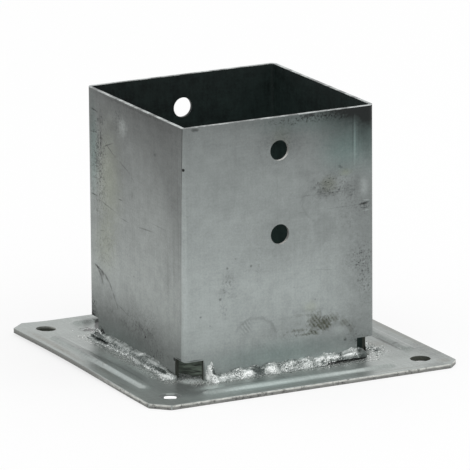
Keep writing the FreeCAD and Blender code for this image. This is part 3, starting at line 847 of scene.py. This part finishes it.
# Metal goes from dull to middle to bright as its painted shine rises over these spans: the bright end
# paints highlights and the dull end shade.
weldFinish = dict(bright=(0.90, 0.93, 0.915), middle=(0.385, 0.415, 0.402), dull=(0.092, 0.108, 0.103),
                  middleSpan=(0.0, 0.45), brightSpan=(0.55, 1.1), lumps=1.1, grit=(3.2, 8.0),
                  gritRoughness=0.35, lumpBump=1.5, metallic=0.7, roughness=0.38, bump=(0.4, 0.8))


def weldMaterial(finish):
    made, shader, place = newMaterial("weldMetal")
    paintedShine, crumb = [addNode("ShaderNodeAttribute", {}, shader.id_data, attribute_name=name).outputs["Fac"]
                    for name in ("paintedShine", "crumb")]
    lumps = swing(place, 0.5, 4.0, 0.65)
    grit = swing(place, 1.5, 3.0, 0.75)
    patchy = times(ramp(noise(place, 0.16, 2.0, 0.5), 0.40, 0.62, *finish["grit"]), crumb)
    paintedShine = timesPlus(grit, patchy, timesPlus(lumps, finish["lumps"], paintedShine))
    colour = mixColour(ramp(paintedShine, *finish["middleSpan"]), finish["dull"], finish["middle"])
    colour = mixColour(ramp(paintedShine, *finish["brightSpan"]), colour, finish["bright"])
    setShader(shader, {"Base Color": colour, "Metallic": finish["metallic"],
                       "Roughness": timesPlus(grit, finish["gritRoughness"], finish["roughness"])},
              timesPlus(lumps, finish["lumpBump"], grit), finish["bump"])
    return made


weldMetal = weldMaterial(weldFinish)

# Along each wall a bead runs left to right as seen from outside it, in mm from the wall's middle.
# Wall and toe give the bead's height up the wall and reach along the plate at stops on the way, gap
# how far its toe hangs clear of the plate and groove the depth of the furrow along it. Sleek is the
# middle and the length of a smooth stretch.
# Lumps are place along, place round the section (0 at the plate, 1 at the wall), length, width as a
# share of the section, height and painted shine, a highlight where it is above 0 and shade below.
hiddenBead = dict(start=-52.0, end=52.0, rough=0.9, ridge=0.4, endRound=4.0, sleek=None, gap=None,
                  groove=None, lumps=None, toe=[(-52, 5.5), (0, 6.4), (52, 5.5)])
weldBeads = dict(
    weld_front=dict(
        start=-49.5, end=56.0, quarter=0, seed=3, paintedShine=0.46, rough=1.0, ridge=0.25, endRound=1.2,
        sleek=(43.5, 4.2), groove=None,
        wall=[(-50, 8.2), (-47.5, 8.6), (-46.2, 9.2), (-45, 10.4), (-44.3, 6.6), (-43.6, 3.6), (-40, 2.6),
              (-34, 2.4), (-31, 4.4), (-27, 4.7), (-22, 3.9), (-17, 4.9), (-12, 3.5), (-9.5, 4.5),
              (-5.4, 4.9), (0.4, 4.1), (5, 5.1), (11.5, 4.3), (13, 5.2), (19, 4.9), (24, 3.9), (28.4, 5.9),
              (35, 5), (38, 4), (41, 5.5), (46, 6.3), (51.4, 6.3), (54.7, 4.9), (56, 3)],
        toe=[(-50, 6), (-46.8, 8.6), (-42.5, 7.8), (-38.6, 7.4), (-33.5, 8.2), (-26.8, 7.2), (-19, 6.3),
             (-13, 6.5), (-6.6, 7.3), (0, 7), (5, 7.2), (13, 6.3), (21, 5.4), (27, 5), (31, 4.8), (38, 4.7),
             (56, 4)],
        gap=[(26, 0), (30, 0.8), (34, 1.3), (48, 1.4), (53, 1), (56, 0.3)],
        lumps=[(-47.5, 0.9, 2.2, 0.3, 0.3, 0.7), (-48, 0.45, 2.2, 0.25, 0.7, 0.75),
               (-45.2, 0.6, 1.2, 0.17, -1.8, -2.6), (-45.5, 0.05, 2.4, 0.2, 0.4, 0.9),
               (-41, 0.1, 2, 0.2, 0.5, 0.7), (-42, 0.45, 1.2, 0.15, -0.4, -0.8),
               (-36, 0.3, 4, 0.4, 0.2, 0.35), (-30, 0.86, 3.2, 0.16, 0.7, 0.15),
               (-23, 0.34, 4.6, 0.26, 0.7, 1), (-20, 0.88, 3.4, 0.13, 0.9, 0.1),
               (-17.2, 0.42, 2.7, 0.36, -0.9, -1.9), (-14, 0.3, 1.6, 0.3, 0, -0.8),
               (-10.5, 0.86, 3, 0.14, 0.7, -0.1), (-8.5, 0.42, 3, 0.22, 0.8, 0.85),
               (-3, 0.5, 1.8, 0.3, -0.7, -0.5), (-4, 0.88, 2.4, 0.14, 0.7, 0), (5, 0.8, 4.4, 0.26, 1, 0.15),
               (8, 0.35, 2.2, 0.2, -0.2, -0.35), (10.5, 0.5, 1.2, 0.35, -0.5, -0.35),
               (4, 0.4, 5, 0.4, 0, 0.25), (14.5, 0.84, 3.2, 0.18, 0.9, 0.75),
               (16, 0.4, 3.6, 0.25, 0.5, 0.35), (20.5, 0.5, 1.4, 0.4, -0.4, -0.3),
               (23, 0.66, 2.6, 0.3, 0.5, 0.65), (25.5, 0.2, 1, 0.2, -0.3, -1),
               (29.5, 0.66, 4.6, 0.45, 1.3, 0.75), (35, 0.6, 2.6, 0.4, 0.5, 0.35),
               (31, 0.3, 2, 0.12, 0, -0.4), (38.5, 0.5, 1.4, 0.5, -0.3, -0.55),
               (43.5, 0.58, 5, 0.13, 0.9, 0.85), (42, 0.25, 8, 0.2, 0.2, -0.45),
               (47, 0.95, 4, 0.1, 0.4, 0.3), (53.5, 0.5, 3.6, 0.8, 0.5, -1.1)]),
    weld_left=dict(
        start=-57.0, end=53.0, quarter=3, seed=8, paintedShine=0.19, rough=0.45, ridge=1.0, endRound=3.0,
        sleek=None, gap=None,
        wall=[(-57, 1.4), (-52, 2.8), (-44, 4.2), (-32, 5.2), (-21, 5.4), (-11, 5.2), (-2, 4.6), (8.8, 5.2),
              (18, 5.4), (24.5, 5.2), (31, 4.4), (37, 3.2), (44, 2.2), (53, 1.6)],
        toe=[(-57, 5.2), (-50, 6.6), (-39, 6.2), (-29, 5.9), (-20, 5.4), (-10, 4.8), (1, 4.6), (12, 5.8),
             (22, 5.4), (31, 5), (36, 5.4), (43, 7), (49, 8.4), (53, 8)],
        groove=[(-57, 0.1), (-54.5, 0.5), (-53, 1.4), (-50.5, 1.4), (-48.5, 0.6), (-45.5, 1.9), (-35, 2.4),
                (-30.5, 1), (-26, 0.3), (-4, 0.2), (2, 0.3), (24, 0.35), (31, 0.8), (37, 1.4), (42, 1.2),
                (46, 0.2), (52, 0)],
        lumps=[(-48.5, 0.75, 4, 0.45, -0.3, -0.3), (-54, 0.35, 2.5, 0.3, 0.5, 0.1),
               (-40, 0.52, 6, 0.14, -0.2, -0.4), (-34, 0.8, 6, 0.2, 0.7, 0.35),
               (-21, 0.75, 5, 0.22, 0.6, 0.2), (-9, 0.72, 5, 0.22, 0.6, 0.15), (2, 0.75, 4, 0.22, 0.4, 0.1),
               (9, 0.84, 2.6, 0.2, 0.6, 1), (20, 0.7, 3.5, 0.25, 0.3, 0.05), (29, 0.78, 4, 0.2, 0.4, 0.25),
               (37, 0.88, 4, 0.14, 0.4, 0.5), (49, 0.3, 3.8, 0.4, 0.7, 0.75), (44, 0.12, 3, 0.15, 0.3, 0.6),
               (14, 0.4, 4, 0.3, 0, -0.25)]),
    weld_back=dict(hiddenBead, quarter=2, seed=21, paintedShine=0.3, wall=[(-52, 4.4), (0, 5.0), (52, 4.4)]),
    weld_right=dict(hiddenBead, quarter=1, seed=34, paintedShine=0.25, wall=[(-52, 3.6), (-30, 4.8), (52, 4.4)],
                    toe=[(-52, 6.5), (0, 6.4), (52, 5.5)]))

beadShape = dict(bulge=0.9, pitch=8.2, across=34, step=0.25, sunk=0.15, coarse=0.62, middle=0.34, fine=0.16,
                 endWander=0.8, sectionLength=8, cells=(3.6, 1.7, 0.8), coarsePaintedShine=0.16, middlePaintedShine=0.12,
                 ridgePaintedShine=0.10, leastLeg=0.02, furrowLine=0.36, furrowWidth=0.13)


def latticeNoise(u, v, cell, seed):
    # Random heights at the corners of a square lattice, blended smoothly between them.
    table = np.random.default_rng(seed).uniform(-1, 1, (258, 258))
    u, v = np.broadcast_arrays(u / cell + 100, v / cell + 100)
    column, row = np.floor(u).astype(int), np.floor(v).astype(int)
    across, down = smooth(0, 1, u - column), smooth(0, 1, v - row)
    column, row = column % 256, row % 256
    near = table[row, column] * (1 - across) + table[row, column + 1] * across
    far = table[row + 1, column] * (1 - across) + table[row + 1, column + 1] * across
    return near * (1 - down) + far * down


def rowOfLumps(bead, pitch):
    # Lumps for a bead that has no list of its own: one puddle per pitch, high on the wall.
    random = np.random.default_rng(bead["seed"])
    places = np.arange(bead["start"] + 5, bead["end"] - 3, pitch)
    spans = ((0.5, 0.8), (3, 4.2), (0.25, 0.4), (0.6, 1.3), (0.1, 0.6))
    return [(place + random.uniform(-1.5, 1.5), *[random.uniform(*span) for span in spans])
            for place in places]


def beadSurface(bead, shape, along, share):
    # Reach of the bead's face from its corner at each place along and round the section, and its painted
    # shine: a line between two toes, one on the wall and one on the plate, swollen by a sine of the angle, by
    # the lumps and by three sizes of noise, and tapered where the ends round off.
    seed = bead["seed"]
    angle = share * np.pi / 2
    ends = np.minimum(along - bead["start"], bead["end"] - along)
    ends = ends + shape["endWander"] * wander(along, seed + 9, (3.1, 5.3))
    taper = np.sqrt(np.clip(1 - (1 - np.clip(ends / bead["endRound"], 0, 1)) ** 2, 0.0, 1))
    wallLeg = (stops(along, bead["wall"]) + 0.5 * wander(along, seed, (5.7, 9.1, 14))
               + 0.25 * wander(along, seed + 1, (2.3, 3.7)))
    plateLeg = (stops(along, bead["toe"]) + 0.6 * wander(along, seed + 2, (6.1, 11, 17))
                + 0.35 * wander(along, seed + 3, (1.9, 3.1)))
    wallLeg, plateLeg = wallLeg * taper + shape["leastLeg"], plateLeg * taper + shape["leastLeg"]
    reach = 1 / (np.cos(angle) / plateLeg + np.sin(angle) / wallLeg)
    swell, paintedShine = shape["bulge"], bead["paintedShine"]
    for place, centre, length, width, height, paintedGlint in bead["lumps"] or rowOfLumps(bead, shape["pitch"]):
        lump = np.exp(-((along - place) / length) ** 2 - ((share - centre) / width) ** 2)
        swell = swell + height * lump
        paintedShine = paintedShine + paintedGlint * lump
    across = shape["sectionLength"] * share
    coarse, middle, fine = [latticeNoise(along, across, cell, seed + 4 + number)
                            for number, cell in enumerate(shape["cells"])]
    swell = swell + bead["rough"] * shape["coarse"] * coarse
    edged = np.minimum(1, 4 * np.minimum(share, 1 - share) + 0.15)
    crumbs = bead["rough"] * (shape["middle"] * middle + shape["fine"] * fine) * edged
    paintedShine = paintedShine + shape["coarsePaintedShine"] * coarse + shape["middlePaintedShine"] * middle
    if bead["groove"]:
        crumbs = crumbs * (1.6 - 1.3 * smooth(0.3, 0.6, share))  # the toe is crumbly and the ridge smooth
    reach = reach + (swell * np.sin(2 * angle) + crumbs) * taper
    if bead["groove"]:
        behind = smooth(-25, -36, along)  # towards the back end the furrow is narrower and nearer the plate
        line = shape["furrowLine"] + 0.05 * wander(along, seed + 7, (15, 27)) - 0.15 * behind
        width = shape["furrowWidth"] - 0.04 * behind
        valley = stops(along, bead["groove"]) * np.exp(-((share - line) / width) ** 2)
        reach = reach - valley * taper
        # Painted shade in the furrow and a painted highlight along the toe.
        paintedShine = paintedShine - 0.62 * valley + 0.34 * np.exp(-((share - 0.12) / 0.1) ** 2)
    return reach, paintedShine


def weldBead(name, bead, shape, material):
    # The face of the bead, its foot and its back, with a fan of faces over each end.
    count = int((bead["end"] - bead["start"]) / shape["step"])
    along = np.linspace(bead["start"], bead["end"], count)[:, None]
    angle = np.linspace(0, np.pi / 2, shape["across"])[None, :]  # 0 at the plate, a quarter turn at the wall
    share = angle / (np.pi / 2)
    reach, paintedShine = beadSurface(bead, shape, along, share)
    out = np.maximum(reach * np.cos(angle), -0.1)
    up = np.maximum(reach * np.sin(angle), -0.1)
    behind = gap = np.full_like(along, -shape["sunk"])
    if bead["gap"]:
        lift = stops(along, bead["gap"]) * (1 + 0.25 * wander(along, bead["seed"] + 8, (5, 8)))
        gap = np.maximum(lift, gap)
        up = np.maximum(up, lift)
    out = np.concatenate([out, behind, behind, out[:, :1], out[:, :1]], axis=1)
    up = np.concatenate([up, up[:, -1:], gap, gap, up[:, :1]], axis=1)
    points = np.stack([np.broadcast_to(along, out.shape), -halfSleeve - out, plateTop + up], axis=-1)
    ridge = np.exp(-((share - 0.74) / 0.26) ** 2) * bead["ridge"]
    if bead["sleek"]:
        place, length = bead["sleek"]
        ridge = np.maximum(ridge, 0.9 * np.exp(-((along - place) / length) ** 2))
    # The ridge gets a little painted highlight, and less crumb.
    values = np.stack([paintedShine + shape["ridgePaintedShine"] * ridge, np.broadcast_to(1 - ridge, paintedShine.shape)], axis=-1)
    values = np.concatenate([values, np.repeat(values[:, -1:], 4, axis=1)], axis=1)
    patches, patchValues = [points], [values.reshape(-1, 2)]
    for end in (slice(0, 1), slice(-1, None)):
        cap = points[end]
        patches.append(np.concatenate([cap, np.broadcast_to(cap.mean(axis=1, keepdims=True), cap.shape)]))
        patchValues.append(np.tile(values[end].reshape(-1, 2), (2, 1)))
    spin = quarterTurn(bead["quarter"])
    meshObject(name + "_bead", [patch @ spin for patch in patches], material, [name], sharp=80,
               values=np.concatenate(patchValues))


for name, bead in weldBeads.items():
    weldBead(name, bead, beadShape, weldMetal)


# Spatter: droplets thrown round the ends of the welds, flattened where they landed.

spatter = dict(smallest=0.22, flatness=0.62, turns=9, levels=5, seed=11, sunk=0.05, paintedShine=(-0.45, 1.3),
               strandPaintedShine=1.1, strandSteps=15, strandSides=7)
# Centre X, centre Y, spread along X, spread along Y, number of drops and largest radius.
spatterClusters = [(68, -50.5, 1.9, 4, 90, 1.15), (71, -47, 3, 4.6, 50, 0.6), (64, -60, 5, 3.6, 46, 0.5),
                   (67, -51, 1.6, 2.6, 30, 1.1), (-66.5, 54, 1.6, 4, 14, 0.45),
                   (-49.5, -66.5, 3.8, 2, 70, 0.42), (-70, -48, 2, 4, 20, 0.6), (20, -72, 30, 1.3, 60, 0.5),
                   (-69.5, 10, 1.3, 30, 70, 0.5), (84, -60, 6, 12, 14, 0.5)]
# Strands of wire left at the back end of the left bead: start, top and end, then radius.
strands = [((-64.6, 53.4, 4.6), (-64.7, 49.8, 8), (-64.4, 47.4, 9.4), 0.33),
           ((-64.4, 47.7, 9.4), (-64.5, 45.6, 8.6), (-63.8, 42, 5.6), 0.31),
           ((-64.9, 51.8, 5.2), (-65.6, 48.2, 4.4), (-64.9, 43, 5.2), 0.28),
           ((-63.3, 49.8, 8.8), (-63.5, 47.4, 7.4), (-63.3, 44.5, 5.2), 0.17),
           ((-63.3, 47.8, 9), (-63.5, 45.4, 7.6), (-63.3, 42.4, 5.6), 0.17),
           ((-63.3, 49.2, 5.2), (-63.5, 47.6, 7.2), (-63.3, 46.2, 9.2), 0.16),
           ((-63.3, 46.8, 4.8), (-63.5, 45.2, 6.8), (-63.3, 43.8, 8.6), 0.16)]


def strandTube(strand, settings):
    # A round tube along the curve that leaves the start towards the top and comes in from it to the end.
    start, top, end = [np.array(place) for place in strand[:3]]
    share = np.linspace(0, 1, settings["strandSteps"])[:, None]
    line = (1 - share) ** 2 * start + 2 * share * (1 - share) * top + share ** 2 * end
    sideways = np.array([1.0, 0.0, 0.0])
    aside = np.cross(np.gradient(line, axis=0), sideways)
    aside = aside / np.linalg.norm(aside, axis=1)[:, None]
    turn = np.linspace(0, 2 * np.pi, settings["strandSides"])[None, :, None]
    radius = strand[3] * np.sqrt(np.clip(1 - (2 * share - 1) ** 8, 0.0, 1))[:, :, None]
    return line[:, None] + radius * (np.cos(turn) * aside[:, None] + np.sin(turn) * sideways)


def spatterDrops(settings, material):
    random = np.random.default_rng(settings["seed"])
    centres, sizes = [], []
    for x, y, spreadX, spreadY, count, most in spatterClusters:
        centres.append(np.column_stack([random.normal(x, spreadX, count), random.normal(y, spreadY, count)]))
        sizes.append(settings["smallest"] + (most - settings["smallest"]) * random.random(count) ** 3)
    centres, sizes = np.concatenate(centres), np.concatenate(sizes)
    away = np.abs(centres)
    hole = halfPlate - plateShape["holeFromEdge"]
    clear = (away.max(axis=1) > halfSleeve + 1) & (away.max(axis=1) < halfPlate - 3)
    clear &= np.hypot(*(away - hole).T) > plateShape["holeRadius"] + 1.5
    centres, sizes = centres[clear], sizes[clear]
    # Each drop is a half sphere: rings of points from its foot to its top.
    turn = np.linspace(0, 2 * np.pi, settings["turns"])[None, :]
    rise = np.linspace(0, np.pi / 2, settings["levels"])[:, None]
    dome = np.stack([np.cos(rise) * np.cos(turn), np.cos(rise) * np.sin(turn),
                     settings["flatness"] * np.sin(rise) * np.ones_like(turn)], axis=-1)
    raised = ribSwell(*centres.T, plateShape) + plateLift(*centres.T, plateShape)
    ground = plateTop + raised - settings["sunk"]
    patches = [dome * size + np.array([*place, level]) for place, size, level in zip(centres, sizes, ground)]
    # Each drop gets a painted shine of its own, from shade to highlight, and the strands a painted highlight.
    paintedShine = np.repeat(random.uniform(*settings["paintedShine"], len(patches)), dome.shape[0] * dome.shape[1])
    patches += [strandTube(strand, settings) for strand in strands]
    strandPoints = len(strands) * settings["strandSteps"] * settings["strandSides"]
    paintedShine = np.concatenate([paintedShine, np.full(strandPoints, settings["strandPaintedShine"])])
    values = np.column_stack([paintedShine, np.ones_like(paintedShine)])
    meshObject("weld_spatter", patches, material, values=values)


spatterDrops(spatter, weldMetal)


# Stage

white = (1.0, 1.0, 1.0)
# The floor glows a little for the camera, but not under the plate, where its edge is halfUnder in mm.
studio = dict(floor=(0.88, 0.88, 0.88), glowShare=0.72, glow=1.02, halfFloor=4.0, halfUnder=halfPlate - 8.0,
              lampPlace=(1.2, -1.3, 1.4), lampAim=(0, 0, 0.07), lampSize=(1.4, 1.2), lampPower=7)


def makeFloor(settings):
    size = settings["halfFloor"]
    mesh = bpy.data.meshes.new("floor")
    corners = [(-size, -size, 0), (size, -size, 0), (size, size, 0), (-size, size, 0)]
    mesh.from_pydata(corners, [], [(0, 1, 2, 3)])
    made = bpy.data.objects.new("floor", mesh)
    bpy.context.collection.objects.link(made)
    material = bpy.data.materials.new("paleFloor")
    material.use_nodes = True
    tree = material.node_tree
    tree.nodes.clear()
    matt = addNode("ShaderNodeBsdfDiffuse", {"Color": settings["floor"]}, tree).outputs[0]
    glow = addNode("ShaderNodeEmission", {"Color": white, "Strength": settings["glow"]}, tree).outputs[0]
    seen = tree.nodes.new("ShaderNodeLightPath").outputs["Is Camera Ray"]
    x, y, _ = parts(tree.nodes.new("ShaderNodeTexCoord").outputs["Object"])
    beyond = greater(largest(absolute(x), absolute(y)), settings["halfUnder"] * mm)
    share = times(seen, settings["glowShare"], beyond)
    both = addNode("ShaderNodeMixShader", {0: share, 1: matt, 2: glow}).outputs[0]
    addNode("ShaderNodeOutputMaterial", {"Surface": both})
    mesh.materials.append(material)


def makeWorld():
    world = bpy.data.worlds.new("studio")
    world.use_nodes = True
    bpy.context.scene.world = world
    tree = world.node_tree
    tree.nodes.clear()
    light = addNode("ShaderNodeBackground", {"Color": white, "Strength": 1.0}, tree).outputs[0]
    addNode("ShaderNodeOutputWorld", {"Surface": light})


def makeLamp(name, settings):
    data = bpy.data.lights.new(name, "AREA")
    data.shape = "RECTANGLE"
    data.size, data.size_y = settings["lampSize"]
    data.energy = settings["lampPower"]
    made = bpy.data.objects.new(name, data)
    place, aim = np.array(settings["lampPlace"]), np.array(settings["lampAim"])
    back = (place - aim) / np.linalg.norm(place - aim)
    side = np.cross([0, 0, 1], back)
    side = side / np.linalg.norm(side)
    made.matrix_world = Matrix.Translation(place.tolist()) @ axesMatrix(side, np.cross(back, side), back)
    bpy.context.collection.objects.link(made)


makeFloor(studio)
makeWorld()
makeLamp("rightSoftbox", studio)
print("stage lit")
